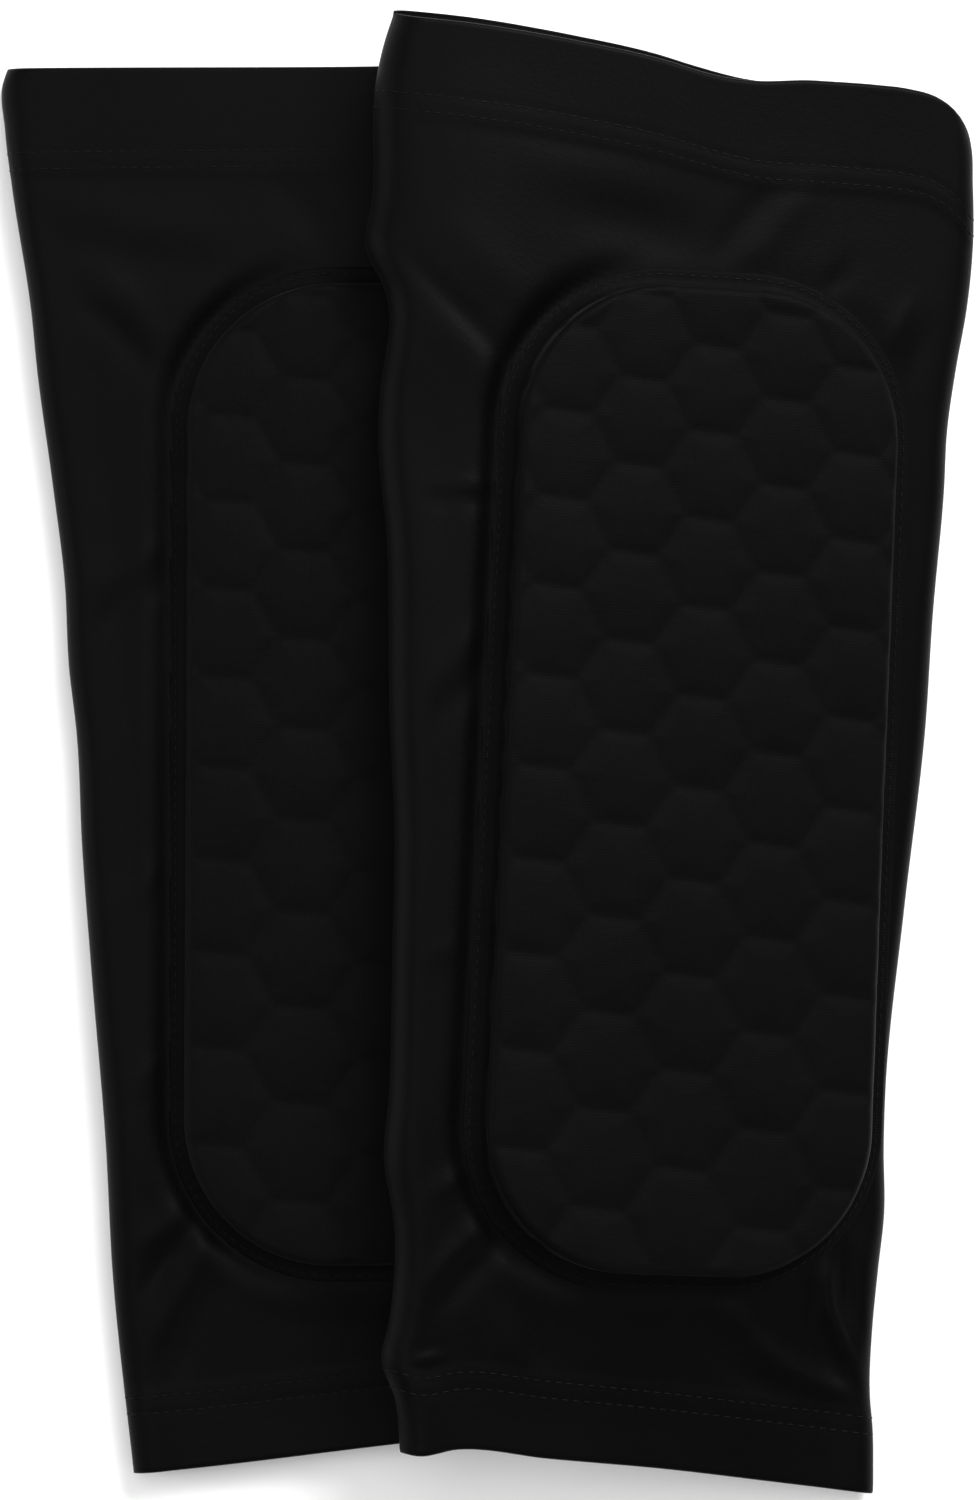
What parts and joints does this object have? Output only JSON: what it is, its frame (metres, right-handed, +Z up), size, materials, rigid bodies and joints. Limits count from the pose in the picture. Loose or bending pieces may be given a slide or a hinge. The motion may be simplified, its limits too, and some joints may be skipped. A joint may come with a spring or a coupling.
{
  "type": "padded shin guard",
  "caption": "Pair of stretch-knit leg sleeves with honeycomb foam shin pads sewn on the front, laid flat, one leaning over the other's pad.",
  "frame": {"origin": "middle of the pair's footprint on the table", "axes": "+Z up off the table and out of the pads, +Y towards the knee ends, +X from the left guard towards the right one"},
  "size_m": [0.201, 0.3006, 0.0368],
  "materials": {
    "sleeve_knit": "smooth stretch knit, satin",
    "hem_knit": "smooth stretch knit, satin",
    "elastic": "woven elastic tape, matte",
    "thread": "polyester thread, slight sheen",
    "pad_backing": "thin lining cloth, matte",
    "foam": "closed-cell foam, matte",
    "pad_cloth": "smooth knit bonded to foam, matte"
  },
  "bodies": {
    "left_guard": {"left_ankle_hem": "hem_knit", "left_ankle_stitching": "thread", "left_back_seam": "thread", "left_knee_elastic": "elastic", "left_knee_hem": "hem_knit", "left_knee_stitching": "thread", "left_pad_backing": "pad_backing", "left_pad_cover": "pad_cloth", "left_pad_foam": "foam", "left_pad_stitching": "thread", "left_sleeve": "sleeve_knit"},
    "right_guard": {"right_ankle_hem": "hem_knit", "right_ankle_stitching": "thread", "right_back_seam": "thread", "right_knee_elastic": "elastic", "right_knee_hem": "hem_knit", "right_knee_stitching": "thread", "right_pad_backing": "pad_backing", "right_pad_cover": "pad_cloth", "right_pad_foam": "foam", "right_pad_stitching": "thread", "right_sleeve": "sleeve_knit"}
  },
  "joints": [
    {"name": "right_guard_lift", "type": "slide", "parent": "left_guard", "child": "right_guard", "axis": [0, 0, 1], "range_m": [0, 0.08]}
  ]
}
